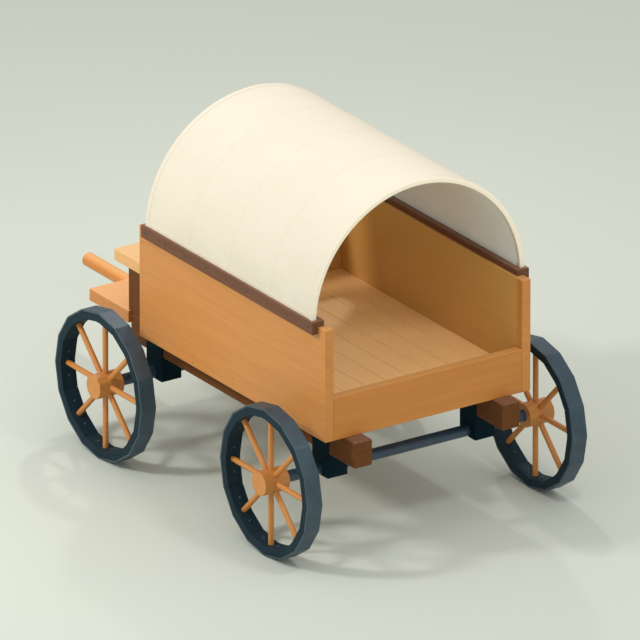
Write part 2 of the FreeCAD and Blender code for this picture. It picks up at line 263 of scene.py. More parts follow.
def buildCanvasWeave():
    # Place is (along, round, 0) in metres on the cloth
    group, takes, gives = startGroup(
        "canvasWeave", ("Place", "Threads"), ("Weave", "Slub", "Stain"))
    parts = split(group, takes["Place"])
    turns = [reckon(group, "SINE", times(group, parts[axis], takes["Threads"])) for axis in "XY"]
    slub = noise(group, stretch(group, takes["Place"], (5.0, 160.0, 1.0)))["Fac"]
    stain = noise(group, takes["Place"], scale=2.1, detail=5.0, roughness=0.62)["Fac"]
    feed(group, gives, {
        "Weave": remap(group, times(group, *turns), -1.0, 1.0),
        "Slub": remap(group, slub, 0.3, 0.7),
        "Stain": remap(group, stain, 0.3, 0.75, smooth=True)})
    return group


timberGrain = buildTimberGrain()
edgeWear = buildEdgeWear()
boardJoints = buildBoardJoints()
loadSide = buildLoadSide()
roadDust = buildRoadDust()
canvasWeave = buildCanvasWeave()
print("shared effects built")


def startMaterial(name):
    material = bpy.data.materials.new(name)
    material.use_nodes = True
    tree = material.node_tree
    tree.nodes.clear()
    surface = tree.nodes.new("ShaderNodeBsdfPrincipled")
    addNode(tree, "ShaderNodeOutputMaterial", {"Surface": surface.outputs[0]})
    place = tree.nodes.new("ShaderNodeTexCoord").outputs["Object"]
    return material, tree, surface, place


def addBump(tree, look, **feeds):
    feeds.update({"Strength": look["relief"], "Distance": look["depth"]})
    return addNode(tree, "ShaderNodeBump", feeds).outputs[0]


def addRoughness(tree, look, value, low=0.0, high=1.0):
    smoother, rougher = look["roughSpread"]
    return remap(tree, value, low, high, look["rough"] - smoother, look["rough"] + rougher)


def alongGrain(tree, place, run):
    # turns the wagon's own axes so that the grain runs along X
    parts = split(tree, place)
    return join(tree, *[parts[axis] for axis in {"x": "XYZ", "y": "YXZ", "z": "ZXY"}[run]])


wheelSizes = {
    "frontX": middleOf("tyre_front_left").x,
    "rearX": middleOf("tyre_rear_left").x,
    "height": middleOf("tyre_rear_left").z,
    "rimReach": 0.52,       # to the middle of the felloes
    "spokes": 8,
    "apart": 3.0,           # how much the front wheels' grain differs from the rear ones'
}


def roundWheel(tree, place, run):
    # grain runs out along each spoke, or round the rim
    parts = split(tree, place)
    rearX, frontX = wheelSizes["rearX"], wheelSizes["frontX"]
    ahead = reckon(tree, "GREATER_THAN", parts["X"], (frontX + rearX) / 2)
    centre = remap(tree, ahead, 0.0, 1.0, rearX, frontX)
    x = reckon(tree, "SUBTRACT", parts["X"], centre)
    z = reckon(tree, "SUBTRACT", parts["Z"], wheelSizes["height"])
    reach = reckon(tree, "SQRT", reckon(tree, "ADD", times(tree, x, x), times(tree, z, z)))
    turn = reckon(tree, "ARCTAN2", z, x)
    if run == "rim":
        return join(tree, times(tree, turn, wheelSizes["rimReach"]), parts["Y"], reach)
    step = math.tau / wheelSizes["spokes"]
    nearest = reckon(tree, "SNAP", reckon(tree, "ADD", turn, step / 2), step)
    off = reckon(tree, "SUBTRACT", turn, nearest)
    across = reckon(tree, "ADD", times(tree, reach, reckon(tree, "SINE", off)), nearest)
    side = reckon(tree, "ADD", parts["Y"], times(tree, centre, wheelSizes["apart"]))
    return join(tree, reach, side, across)


def makeTimber(name, look):
    material, tree, surface, place = startMaterial(name)
    lay = roundWheel if look["run"] in ("spoke", "rim") else alongGrain
    laid = lay(tree, place, look["run"])
    grain = useGroup(tree, timberGrain, {"Place": laid, "Bands": look["bands"]})
    deep, height = look["deep"], grain["Height"]
    colour = tint(tree, look["tone"], grain["Growth"], look["figure"], deep)
    colour = tint(tree, colour, grain["Fibre"], look["fibre"], deep)
    if look.get("boardWidth"):
        across = reckon(tree, "SUBTRACT", split(tree, place)["Z"], look["boardStart"])
        boards = useGroup(tree, boardJoints, {
            "Across": across, "Width": look["boardWidth"], "Line": look["jointLine"]})
        colour = tint(tree, colour, boards["Board"], look["boardShade"], deep)
        colour = tint(tree, colour, boards["Joint"], look["jointShade"], deep)
        height = reckon(tree, "SUBTRACT", height, times(tree, boards["Joint"], look["jointDepth"]))
    # painted light: the faces inside the load space take a paler, yellower tone, standing for
    # light in the shaded box
    if look.get("bare"):
        load = useGroup(tree, loadSide, {"Place": place, "Edge": look["bareEdge"]})
        colour = tint(tree, colour, load["Inside"], look["bare"], look["bareTone"])
    wear = useGroup(tree, edgeWear, {
        "Place": place, "Reach": look["wearReach"], "Amount": look["wear"]})
    colour = blendColours(tree, wear["Wear"], colour, look["worn"])
    dust = useGroup(tree, roadDust, {
        "Place": place, "Top": look["dustTop"], "Amount": look["dust"], "Under": look["under"],
        "PaintedTopAmount": look["sun"]})
    # painted light: faces that look up are blended towards the pale tone, as if lit from above
    colour = blendColours(tree, dust["PaintedTopLight"], colour, look["pale"])
    feed(tree, surface, {
        "Base Color": blendColours(tree, dust["Dust"], colour, dustTone),
        "Roughness": addRoughness(tree, look, grain["Fibre"]),
        "Specular IOR Level": look["shine"], "Coat Weight": look["coat"],
        "Coat Roughness": look["coatRough"],
        "Normal": addBump(tree, look, Height=height, Normal=wear["Rounded"])})
    return material


def makePaintedIron(name, look):
    material, tree, surface, place = startMaterial(name)
    mottle = noise(tree, place, scale=9.0, detail=6.0, roughness=0.6)["Fac"]
    fine = noise(tree, place, scale=140.0, detail=3.0)["Fac"]
    colour = blendColours(tree, remap(tree, mottle, 0.35, 0.7), look["tone"], look["deep"])
    wear = useGroup(tree, edgeWear, {
        "Place": place, "Reach": look["wearReach"], "Amount": look["wear"]})
    colour = blendColours(tree, wear["Wear"], colour, look["worn"])
    dust = useGroup(tree, roadDust, {
        "Place": place, "Top": look["dustTop"], "Amount": look["dust"], "Under": 0.0, "PaintedTopAmount": 0.0})
    feed(tree, surface, {
        "Base Color": blendColours(tree, dust["Dust"], colour, dustTone),
        "Roughness": addRoughness(tree, look, fine, 0.3, 0.7),
        "Specular IOR Level": look["shine"],
        "Normal": addBump(tree, look, Height=fine, Normal=wear["Rounded"])})
    return material


dustTone = tone(186, 180, 160)
timberBasics = {
    "coat": 0.0, "coatRough": 0.4,
    "roughSpread": (0.05, 0.07),    # how far the grain takes the roughness down and up
    "depth": 0.0006,                # of the relief, in metres
    "dustTop": 1.1,                 # no road dust above this height
}
# in these looks the up-facing amount and the pale tone are painted light: faces that look up are
# made paler, as if lit from above
oiledBoards = dict(timberBasics, **{
    "tone": tone(208, 139, 68), "deep": tone(167, 103, 41), "worn": tone(227, 166, 100),
    "pale": tone(235, 180, 117), "bands": 1.0, "figure": 0.20, "fibre": 0.12, "relief": 0.32,
    "wearReach": 0.006, "wear": 0.4, "dust": 0.03, "under": 0.6, "sun": 0.35,
    "rough": 0.42, "shine": 0.45,
})
brownTimber = dict(timberBasics, **{
    "tone": tone(112, 72, 47), "deep": tone(76, 43, 24), "worn": tone(141, 97, 70),
    "pale": tone(152, 114, 95), "bands": 1.2, "figure": 0.3, "fibre": 0.18, "relief": 0.35,
    "wearReach": 0.006, "wear": 0.35, "dust": 0.03, "under": 0.5, "sun": 0.5,
    "rough": 0.5, "shine": 0.3,
})
slateTimber = dict(timberBasics, **{
    "tone": tone(27, 48, 58), "deep": tone(15, 35, 43), "worn": tone(66, 86, 92),
    "pale": tone(66, 86, 92), "bands": 1.2, "figure": 0.4, "fibre": 0.2, "relief": 0.25,
    "wearReach": 0.005, "wear": 0.25, "dust": 0.01, "under": 0.0, "sun": 0.0,
    "rough": 0.6, "shine": 0.12,
})
sillTimber = dict(brownTimber, rough=0.62, shine=0.1,
                  tone=tone(110, 68, 34), deep=tone(75, 42, 19), worn=tone(138, 94, 59))
blockTimber = dict(slateTimber, run="z", rough=0.75, shine=0.05,
                   tone=tone(12, 37, 46), deep=tone(8, 26, 34), worn=tone(43, 70, 77))
spokeTimber = dict(oiledBoards, run="spoke", sun=0.0, under=0.0,
                   tone=tone(203, 135, 65), deep=tone(166, 101, 38), worn=tone(215, 160, 95))
poleTimber = dict(oiledBoards, run="x", sun=0.9, tone=tone(213, 132, 56), deep=tone(183, 107, 44),
                  worn=tone(225, 154, 82), pale=tone(235, 171, 104))
rubbedBoards = dict(oiledBoards, rough=0.4, coat=0.2)      # smoother, with a thin coat, as boots and loads rub them
# painted light: the floor planks are a far paler copy of the oiled wood, standing for light on the
# floor under the cover
floorBoard = dict(rubbedBoards, run="x", sun=0.0,
                  tone=tone(254, 203, 138), deep=tone(240, 176, 108), worn=tone(254, 224, 170))
seatBoard = dict(rubbedBoards, run="y", sun=0.6, tone=tone(232, 178, 113), deep=tone(202, 146, 85),
                 worn=tone(240, 200, 142), pale=tone(240, 194, 139))
footBoard = dict(rubbedBoards, run="y", sun=0.9, tone=tone(201, 129, 60), deep=tone(178, 108, 44),
                 worn=tone(230, 168, 102), pale=tone(239, 175, 110))
paintedInsideLight = {"bare": 0.5, "bareTone": tone(210, 177, 101), "bareEdge": 0.004}     # painted light: a paler, yellower tone inside the load space, standing for light in the shaded box
endBoards = dict(oiledBoards, run="y", shine=0.35, tone=tone(202, 132, 60), deep=tone(162, 97, 36),
                 **paintedInsideLight)
sideBoards = dict(oiledBoards, run="x", boardStart=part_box("side_panel_left")[0].z,
                  boardWidth=0.284, jointLine=0.0012, jointDepth=1.6, boardShade=0.10,
                  jointShade=0.30, **paintedInsideLight)
slateIron = {
    "tone": tone(42, 69, 85), "deep": tone(30, 54, 69), "worn": tone(100, 122, 136),
    "wearReach": 0.004, "wear": 0.25, "dust": 0.02, "dustTop": 1.3, "relief": 0.2, "depth": 0.0005,
    "rough": 0.46, "roughSpread": (0.06, 0.08), "shine": 0.75,
}
axleIron = dict(slateIron, rough=0.35, tone=tone(40, 66, 90), deep=tone(29, 52, 74))

wheels = ("rear_left", "rear_right", "front_left", "front_right")
nodeFinishes = {
    "sideBoards": (makeTimber, sideBoards, ["side_panel_left", "side_panel_right"]),
    "endBoards": (makeTimber, endBoards, ["tailboard", "front_board"]),
    "floorPlanks": (makeTimber, floorBoard, ["floor_boards"]),
    "floorBearers": (makeTimber, dict(oiledBoards, run="y"), ["floor_bearers"]),
    "topRails": (makeTimber, dict(brownTimber, run="x"), ["top_rail_left", "top_rail_right"]),
    "sills": (makeTimber, dict(sillTimber, run="x"),
              ["sill_left", "sill_right", "footboard_bearer_left", "footboard_bearer_right"]),
    "seatRisers": (makeTimber, dict(sillTimber, run="z"), ["seat_riser_left", "seat_riser_right"]),
    "crossbar": (makeTimber, dict(sillTimber, run="y"), ["front_crossbar"]),
    "seatBoard": (makeTimber, seatBoard, ["seat_board"]),
    "footBoard": (makeTimber, footBoard, ["footboard", "seat_floor"]),
    "pole": (makeTimber, poleTimber, ["pole"]),
    "axleBlocks": (makeTimber, blockTimber, ["axle_block_" + wheel for wheel in wheels]),
    "felloes": (makeTimber, dict(slateTimber, run="rim"),
                ["felloes_" + wheel for wheel in wheels]),
    "spokes": (makeTimber, spokeTimber, ["spokes_" + wheel for wheel in wheels]),
    "hubs": (makeTimber, dict(spokeTimber, run="y"), ["hub_" + wheel for wheel in wheels]),
    "tyres": (makePaintedIron, slateIron, ["tyre_" + wheel for wheel in wheels]),
    "axleIron": (makePaintedIron, axleIron,
                 ["axle_rear", "axle_front", "pole_hanger", "pole_socket"]),
}
finishes = {}
for name, (maker, look, members) in nodeFinishes.items():
    finishes[name] = maker(name, look)
    for member in members:
        slots = cadNodes[member].data.materials
        if not slots:
            slots.append(finishes[name])
        for index in range(len(slots)):
            slots[index] = finishes[name]
print("finishes on", sum(len(members) for _, _, members in nodeFinishes.values()), "nodes")


# canvas cover: an outer sheet over the bows, a lining under them, rolled hems at both ends
# and along the feet
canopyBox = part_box("canopy")
canopySizes = {
    "radius": (canopyBox[1].y - canopyBox[0].y) / 2,
    "clothThick": 0.003,
    "wall": 0.040,          # hem, bows in their sleeves and both cloths
    "bowCount": 5,
    "sag": 0.004,           # dip of the cover half way between two bows
    "sagSteps": 12,
    "footEase": 0.3,        # radians up from the feet over which the dip comes in
    "seamHalf": 0.011,
    "seamEdge": 1.35,       # where a seam has run out, in half widths
    "seamRise": 0.0010,
    "hemLength": 0.052,
    "hemProud": 0.0008,
    "hemRound": 0.009,
    "tuck": 0.4,            # share of an end hem that the sheets don't reach into
    "footHem": 0.030,
    "footRound": 0.004,
    "footInset": 0.001,     # the foot hems stay this far within the wall
    "arcSteps": 96,
}
canopyCentre = canopyBox[1].z - canopySizes["radius"]
canopyFoot = math.asin((canopyBox[0].z - canopyCentre) / canopySizes["radius"])


def makeCanvas(name, look):
    material, tree, surface, place = startMaterial(name)
    parts = split(tree, place)
    turn = reckon(tree, "ARCTAN2", reckon(tree, "SUBTRACT", parts["Z"], canopyCentre), parts["Y"])
    cloth = join(tree, parts["X"], times(tree, turn, canopySizes["radius"]))
    weave = useGroup(tree, canvasWeave, {"Place": cloth, "Threads": look["threads"]})
    colour = tint(tree, look["tone"], weave["Slub"], look["slub"], look["deep"])
    colour = tint(tree, colour, weave["Stain"], look["stain"], look["deep"])
    colour = tint(tree, colour, weave["Weave"], look["weave"], look["deep"])
    # painted light: the end faces of the cloth, and a little way round their edges, take a paler
    # tone, as if lit
    if look.get("paintedLight"):
        off = reckon(tree, "ABSOLUTE", reckon(tree, "SUBTRACT", parts["X"], middleOf("canopy").x))
        endsFrom = (canopyBox[1].x - canopyBox[0].x) / 2 - look["endsIn"]
        ends = reckon(tree, "GREATER_THAN", off, endsFrom)
        colour = tint(tree, colour, ends, look["paintedLight"], look["endLitTone"])
    foot = canopyBox[0].z
    low = remap(tree, parts["Z"], foot, foot + look["splashTop"], look["splash"], 0.0, smooth=True)
    height = reckon(tree, "MULTIPLY_ADD", weave["Slub"], 0.5, times(tree, weave["Weave"], 0.5))
    feed(tree, surface, {
        "Base Color": tint(tree, colour, low, weave["Stain"], dustTone),
        "Roughness": look["rough"], "Specular IOR Level": look["shine"],
        "Sheen Weight": look["sheen"], "Sheen Roughness": look["sheenRough"],
        "Normal": addBump(tree, look, Height=height)})
    return material


creamCanvas = {
    "tone": tone(224, 215, 197), "deep": tone(200, 185, 157), "threads": math.tau / 0.0028,
    "slub": 0.13, "stain": 0.12, "weave": 0.14, "relief": 0.55, "depth": 0.0006,
    "splash": 0.2, "splashTop": 0.25,       # dust on the lowest quarter metre
    "rough": 0.85, "shine": 0.15, "sheen": 0.03, "sheenRough": 0.6,
}
hemCanvas = dict(creamCanvas, paintedLight=0.85, endLitTone=tone(254, 242, 217),
                 endsIn=0.004)       # painted light: the two end faces, and this far round their edges, are made paler, as if lit
# painted light: the lining is lighter and bluer than the cover, to offset the shade and the orange
# bounce light under it
liningCanvas = dict(creamCanvas, tone=tone(234, 241, 240), deep=tone(219, 228, 222))
linenThread = dict(creamCanvas, tone=tone(210, 196, 169), deep=tone(186, 168, 136),
                   threads=math.tau / 0.0008)
canvasFinish = makeCanvas("creamCanvas", creamCanvas)
threadFinish = makeCanvas("linenThread", linenThread)
hemFinish = makeCanvas("hemCanvas", hemCanvas)
liningFinish = makeCanvas("liningCanvas", liningCanvas)


def archPoint(x, turn, radius):
    return Vector((x, radius * math.cos(turn), canopyCentre + radius * math.sin(turn)))


def spaced(low, high, row):
    # places in a row: how far in from each end, and how many
    inLow, inHigh, count = row
    low, high = low + inLow, high - inHigh
    return [low + (high - low) * index / (count - 1) for index in range(count)]


def bowPlaces():
    half = canopySizes["hemLength"] / 2
    return spaced(canopyBox[0].x, canopyBox[1].x, (half, half, canopySizes["bowCount"]))


def sheetStations(start, end):
    # close together at each seam, and evenly between
    bows = bowPlaces()
    half, edge, steps = canopySizes["seamHalf"], canopySizes["seamEdge"], canopySizes["sagSteps"]
    stations = {start, end}
    for index, bow in enumerate(bows):
        for offset in (-edge, -1.0, -0.45, 0.0, 0.45, 1.0, edge):
            stations.add(bow + offset * half)
        if index:
            gap = bow - bows[index - 1]
            stations.update(bows[index - 1] + gap * part / steps for part in range(1, steps))
    return sorted(x for x in stations if start <= x <= end)


def dipAt(x, turn, depth):
    # deepest half way between two bows, and nothing at the feet
    bows = bowPlaces()
    low = max([bow for bow in bows if bow <= x], default=bows[0])
    high = min([bow for bow in bows if bow > x], default=bows[-1])
    if high <= low:
        return 0.0
    part = (x - low) / (high - low)
    fromFoot = min(turn - canopyFoot, math.pi - canopyFoot - turn)
    ease = min(1.0, fromFoot / canopySizes["footEase"])
    return depth * (1 - (2 * part - 1) ** 2) * ease * ease * (3 - 2 * ease)


def seamAt(x):
    near = min(abs(x - bow) for bow in bowPlaces())
    half, edge = canopySizes["seamHalf"], canopySizes["seamEdge"]
    rise = (edge * half - near) / ((edge - 1) * half)
    return canopySizes["seamRise"] * max(0.0, min(1.0, rise))


def meshFrom(name, points, faces, finish, crease=0.7):
    # edges that turn by more than crease, in radians, shade sharp
    mesh = bpy.data.meshes.new(name)
    mesh.from_pydata(points, [], faces)
    mesh.validate()
    mesh.update()
    mesh.set_sharp_from_angle(angle=crease)
    piece = bpy.data.objects.new(name, mesh)
    bpy.context.scene.collection.objects.link(piece)
    mesh.materials.append(finish)
    return piece


# heads, nuts, pegs and nails: (share of the radius, height) from the sunk foot up to the crown
headForms = {
    "coachBolt": {"radius": 0.0085, "sides": 20, "form": (
        (1.0, -0.002), (1.0, 0.0006), (0.94, 0.0018), (0.76, 0.0029), (0.42, 0.0036))},
    "flushBolt": {"radius": 0.0078, "sides": 16, "form": (
        (1.0, -0.002), (1.0, 0.0002), (0.9, 0.0006), (0.5, 0.0009))},
    "squareNut": {"radius": 0.0105, "sides": 4, "form": (
        (1.0, -0.002), (1.0, 0.0046), (0.86, 0.0056))},
    "squareHead": {"radius": 0.0125, "sides": 4, "form": (
        (1.0, -0.002), (1.0, 0.0062), (0.84, 0.0076))},
    "washer": {"radius": 0.0165, "sides": 24, "form": (
        (1.0, -0.002), (1.0, 0.0012), (0.95, 0.0018))},
    "peg": {"radius": 0.0085, "sides": 18, "form": (
        (1.0, -0.002), (1.0, 0.0003), (0.93, 0.0009), (0.6, 0.0011))},
    "nail": {"radius": 0.0036, "sides": 10, "form": (
        (1.0, -0.002), (1.0, 0.0002), (0.8, 0.0006), (0.4, 0.0008))},
    "coveredTack": {"radius": 0.0052, "sides": 14, "form": (
        (1.0, -0.001), (0.98, 0.0007), (0.84, 0.0017), (0.55, 0.0025), (0.2, 0.0028))},
}
draw = random.Random(41)        # seeded, so that every run is the same


def addHead(points, faces, look, place, out, square=None):
    # square is the line that a nut's sides run along; a round head is turned at random
    side = (square or out.orthogonal()).normalized()
    up = out.cross(side)
    sides = look["sides"]
    first = math.pi / sides if square else draw.uniform(0.0, math.tau)
    start = len(points)
    for share, rise in look["form"]:
        for step in range(sides):
            turn = first + math.tau * step / sides
            outward = side * math.cos(turn) + up * math.sin(turn)
            points.append(place + out * rise + outward * look["radius"] * share)
    for ring in range(len(look["form"]) - 1):
        for step in range(sides):
            a, b = start + ring * sides + step, start + ring * sides + (step + 1) % sides
            faces.append((a, b, b + sides, a + sides))
    faces.append(tuple(start + step for step in reversed(range(sides))))
    top = start + sides * (len(look["form"]) - 1)
    faces.append(tuple(top + step for step in range(sides)))


def headMesh(name, form, seats, finish):
    points, faces = [], []
    for seat in seats:
        addHead(points, faces, headForms[form], *seat)
    return meshFrom(name, points, faces, finish, crease=0.8)


def doubleSheet(name, stations, turns, outer, inner, finish):
    # a thin closed sheet between two surfaces that are given as radius functions
    points, faces = [], []
    wide, long = len(turns), len(stations)
    for surface in (outer, inner):
        for x in stations:
            points.extend(archPoint(x, turn, surface(x, turn)) for turn in turns)
    size = wide * long
    for row in range(long - 1):
        for column in range(wide - 1):
            a = row * wide + column
            faces.append((a, a + wide, a + wide + 1, a + 1))
            b = a + size
            faces.append((b, b + 1, b + wide + 1, b + wide))
    for row in range(long - 1):
        a = row * wide
        faces.append((a, a + size, a + size + wide, a + wide))
        a += wide - 1
        faces.append((a, a + wide, a + size + wide, a + size))
    for column in range(wide - 1):
        a = column
        faces.append((a, a + 1, a + size + 1, a + size))
        a += (long - 1) * wide
        faces.append((a, a + size, a + size + 1, a + 1))
    return meshFrom(name, points, faces, finish)


def sweepLoop(name, loops, finish):
    # joins equal closed loops of points into a tube with capped ends
    points = [point for loop in loops for point in loop]
    count = len(loops[0])
    faces = []
    for row in range(len(loops) - 1):
        for column in range(count):
            a, b = row * count + column, row * count + (column + 1) % count
            faces.append((a, b, b + count, a + count))
    faces.append(tuple(reversed(range(count))))
    faces.append(tuple(range((len(loops) - 1) * count, len(loops) * count)))
    return meshFrom(name, points, faces, finish)


def roundedBox(width, height, radius, steps=4, past=0.0015):
    # outline of a rounded rectangle, from (0, 0) to (width, height); a point just past each
    # rounding keeps the shading of the flats flat
    outline = []
    corners = ((width - radius, height - radius), (radius, height - radius), (radius, radius),
               (width - radius, radius))
    for start, (cornerX, cornerY) in enumerate(corners):
        for step in range(-1, steps + 2):
            turn = math.pi / 2 * (start + min(max(step, 0), steps) / steps)
            onward = past * ((step > steps) - (step < 0))
            outline.append((cornerX + radius * math.cos(turn) - onward * math.sin(turn),
                            cornerY + radius * math.sin(turn) + onward * math.cos(turn)))
    return outline


stitchSizes = {
    "length": 0.0062, "width": 0.0017, "proud": 0.0007, "pitch": 0.0095,
    "full": 0.55,           # share of the length that is full width
    "seamRow": 0.0075,      # each row from the middle of a bow's seam
    "hemRow": 0.006,        # in from the inner edge of an end hem
    "footRow": 0.023,       # up from the foot of the cover
    "tackUp": 0.011, "tackPitch": 0.087,
}


def addStitch(points, faces, middle, along, out):
    # one stitch, thick in the middle and pulled down into the cloth at both ends
    half, proud = stitchSizes["length"] / 2, stitchSizes["proud"]
    across = along.cross(out) * stitchSizes["width"] / 2
    start = len(points)
    last = start + 9
    points.append(middle - along * half - out * proud)
    for reach in (-stitchSizes["full"], stitchSizes["full"]):
        centre = middle + along * half * reach
        points.extend((centre + across, centre + out * proud,
                       centre - across, centre - out * proud))
    points.append(middle + along * half - out * proud)
    for step in range(4):
        a, b = start + 1 + step, start + 1 + (step + 1) % 4
        faces.extend(((start, b, a), (a, b, b + 4, a + 4), (last, a + 4, b + 4)))


def evenly(low, high, pitch):
    # as many places as fit at about the pitch, half a step in from both ends
    count = int((high - low) / pitch)
    return [low + (high - low) * (index + 0.5) / count for index in range(count)]


def sewCover(coverOut, turns):
    points, faces = [], []
    size, radius = stitchSizes, canopySizes["radius"]
    hemIn = canopySizes["hemLength"] - size["hemRow"]
    rows = [(bow + side * size["seamRow"], None) for bow in bowPlaces()[1:-1] for side in (-1, 1)]
    rows += [(x, radius + canopySizes["hemProud"])
             for x in (canopyBox[0].x + hemIn, canopyBox[1].x - hemIn)]
    for x, reach in rows:
        for turn in evenly(turns[0], turns[-1], size["pitch"] / radius):
            out = Vector((0, math.cos(turn), math.sin(turn)))
            along = Vector((0, -math.sin(turn), math.cos(turn)))
            addStitch(points, faces, archPoint(x, turn, reach or coverOut(x, turn)), along, out)
    hem = canopySizes["hemLength"]
    for side in (-1, 1):
        for x in evenly(canopyBox[0].x + hem, canopyBox[1].x - hem, size["pitch"]):
            middle = footPoint(x, side, size["footRow"])
            addStitch(points, faces, middle, Vector((1, 0, 0)), Vector((0, side, 0)))
    return meshFrom("canvas_stitches", points, faces, threadFinish, crease=1.4)


def footPoint(x, side, up):
    # on the outer face of a foot hem
    out = canopySizes["radius"] - canopySizes["footInset"]
    return Vector((x, side * out, canopyBox[0].z + up))


def tackFeet(stations):
    # covered tacks that hold the foot of the cover to the rails
    places = evenly(stations[0], stations[-1], stitchSizes["tackPitch"])
    seats = [(footPoint(x, side, stitchSizes["tackUp"]), Vector((0, side, 0)))
             for side in (-1, 1) for x in places]
    return headMesh("canvas_tacks", "coveredTack", seats, hemFinish)


def buildCanopy():
    size = canopySizes
    radius, thick, inner = size["radius"], size["clothThick"], size["radius"] - size["wall"]
    arc = math.pi - 2 * canopyFoot
    turns = [canopyFoot + arc * step / size["arcSteps"] for step in range(size["arcSteps"] + 1)]
    tucked = size["hemLength"] * size["tuck"]
    ends = (canopyBox[0].x + tucked, canopyBox[1].x - tucked)
    stations = sheetStations(*ends)

    def coverOut(x, turn):
        return radius - size["seamRise"] - dipAt(x, turn, size["sag"]) + seamAt(x)

    def liningIn(x, turn):
        return inner + dipAt(x, turn, -size["sag"] / 2)

    cover = doubleSheet("canvas_cover", stations, turns, coverOut,
                        lambda x, turn: coverOut(x, turn) - thick, canvasFinish)
    lining = doubleSheet("canvas_lining", stations, turns,
                         lambda x, turn: liningIn(x, turn) + thick, liningIn, liningFinish)
    hems = []       # each outline runs backwards on one side, so that its faces look out
    outline = roundedBox(size["hemLength"], size["wall"] + size["hemProud"], size["hemRound"])
    for label, endX, way in (("rear", canopyBox[0].x, 1), ("front", canopyBox[1].x, -1)):
        loops = [[archPoint(endX + way * along, turn, inner + rise)
                  for along, rise in outline[::way]] for turn in turns]
        hems.append(sweepLoop("canvas_end_hem_" + label, loops, hemFinish))
    inset = size["footInset"]
    outline = roundedBox(size["wall"] - 2 * inset, size["footHem"], size["footRound"])
    for label, side in (("left", 1), ("right", -1)):
        loops = [[Vector((x, side * (inner + inset + across), canopyBox[0].z + up))
                  for across, up in outline[::side]] for x in ends]
        hems.append(sweepLoop("canvas_foot_hem_" + label, loops, canvasFinish))
    trims = [sewCover(coverOut, turns), tackFeet(stations)]
    for piece in (cover, lining, *hems, *trims):
        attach(piece, "wagon")
    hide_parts("canopy")
    return [cover, lining, *hems, *trims]


canopyPieces = buildCanopy()
print("canvas cover built,", len(canopyPieces), "pieces")


# fittings on the CAD pieces: each is set where a line meets the piece that it holds
fittingSizes = {
    "bearers": (0.045, 0.045, 5),       # rows: how far in from each end, and how many
    "tailPegs": (0.06, 0.05, 3), "frontPegs": (0.06, 0.07, 6), "railBolts": (0.055, 0.055, 9),
    "seatPlugs": (0.06, 0.05, 3), "footPlugs": (0.06, 0.06, 3), "seatNails": (0.05, 0.05, 4),
    "bearerBolts": (0.045, 0.045, 2),
    "hangerAlong": (0.022, 0.022, 2), "hangerAcross": (0.017, 0.017, 2),
    "pegPair": 0.025, "nailPair": 0.055, "boltPair": 0.055,     # each side of a middle line
    "socketBolts": (0.095, 0.035),      # back from the socket's front end
    "seatNailIn": 0.03, "planks": 9, "rimBolts": 16, "washerHigh": 0.0018,
    "hangerFrom": 0.3,      # a height below the hanger's flange
    "nutsFrom": 0.3,        # a place between a wheel's hub and its rim
    "nailStray": (0.012, 0.004),        # along and across a plank
}
beside, above = 2.0, 3.0        # places clear of the whole wagon, to come in from
skins = {}


def meet(node, start, way):
    # (place, outward direction) where a line from start first meets a CAD piece
    if node not in skins:
        mesh = cadNodes[node].data
        skins[node] = BVHTree.FromPolygons([v.co.copy() for v in mesh.vertices],
                                           [p.vertices[:] for p in mesh.polygons])
    way = Vector(way).normalized()
    place, normal, _, _ = skins[node].ray_cast(Vector(start), way)
    if place is None:
        raise RuntimeError("nothing to hold on " + node)
    return place, (normal if normal.dot(way) < 0 else -normal).normalized()


def meetSquare(node, start, way, run):
    # the same, with the line that a square head's sides run along
    return (*meet(node, start, way), Vector(run))


def fit(name, form, seats, body, finish):
    piece = headMesh(name, form, seats, finish)
    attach(piece, body)
    return piece


def bearerPlaces():
    low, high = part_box("floor_bearers")
    return spaced(low.x, high.x, fittingSizes["bearers"])


def fitBody():
    size, made = fittingSizes, []
    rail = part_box("top_rail_left")
    bearerZ, railZ = middleOf("floor_bearers").z, middleOf("top_rail_left").z
    spots = [(x, bearerZ + side * size["pegPair"]) for x in bearerPlaces() for side in (-1, 1)]
    for node, top, row in (("tailboard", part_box("tailboard")[1].z, "tailPegs"),
                           ("front_board", rail[0].z, "frontPegs")):
        spots += [(middleOf(node).x, z) for z in spaced(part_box(node)[0].z, top, size[row])]
    for label, side in (("left", 1), ("right", -1)):
        inward = (0, -side, 0)
        seats = [meet("side_panel_" + label, (x, side * beside, z), inward) for x, z in spots]
        made.append(fit("panel_pegs_" + label, "peg", seats, "wagon", pegFinish))
        seats = [meet("top_rail_" + label, (x, side * beside, railZ), inward)
                 for x in spaced(rail[0].x, rail[1].x, size["railBolts"])]
        made.append(fit("rail_bolts_" + label, "coachBolt", seats, "wagon",
                        darkBoltFinish))
    low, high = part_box("floor_boards")
    plank = (high.y - low.y) / size["planks"]
    strayX, strayY = size["nailStray"]
    seats = []
    for index in range(size["planks"]):
        for x in bearerPlaces():
            for side in (-1, 1):
                y = low.y + plank * (index + 0.5) + side * size["nailPair"]
                spot = (x + draw.uniform(-strayX, strayX), y + draw.uniform(-strayY, strayY))
                seats.append(meet("floor_boards", (*spot, above), (0, 0, -1)))
    made.append(fit("floor_nails", "nail", seats, "wagon", nailFinish))
    return made


def fitDown(name, form, node, places, off, finish):
    # the same row on both sides, set from above
    seats = [meet(node, (x, side * off, above), (0, 0, -1)) for side in (-1, 1) for x in places]
    return fit(name, form, seats, "wagon", finish)


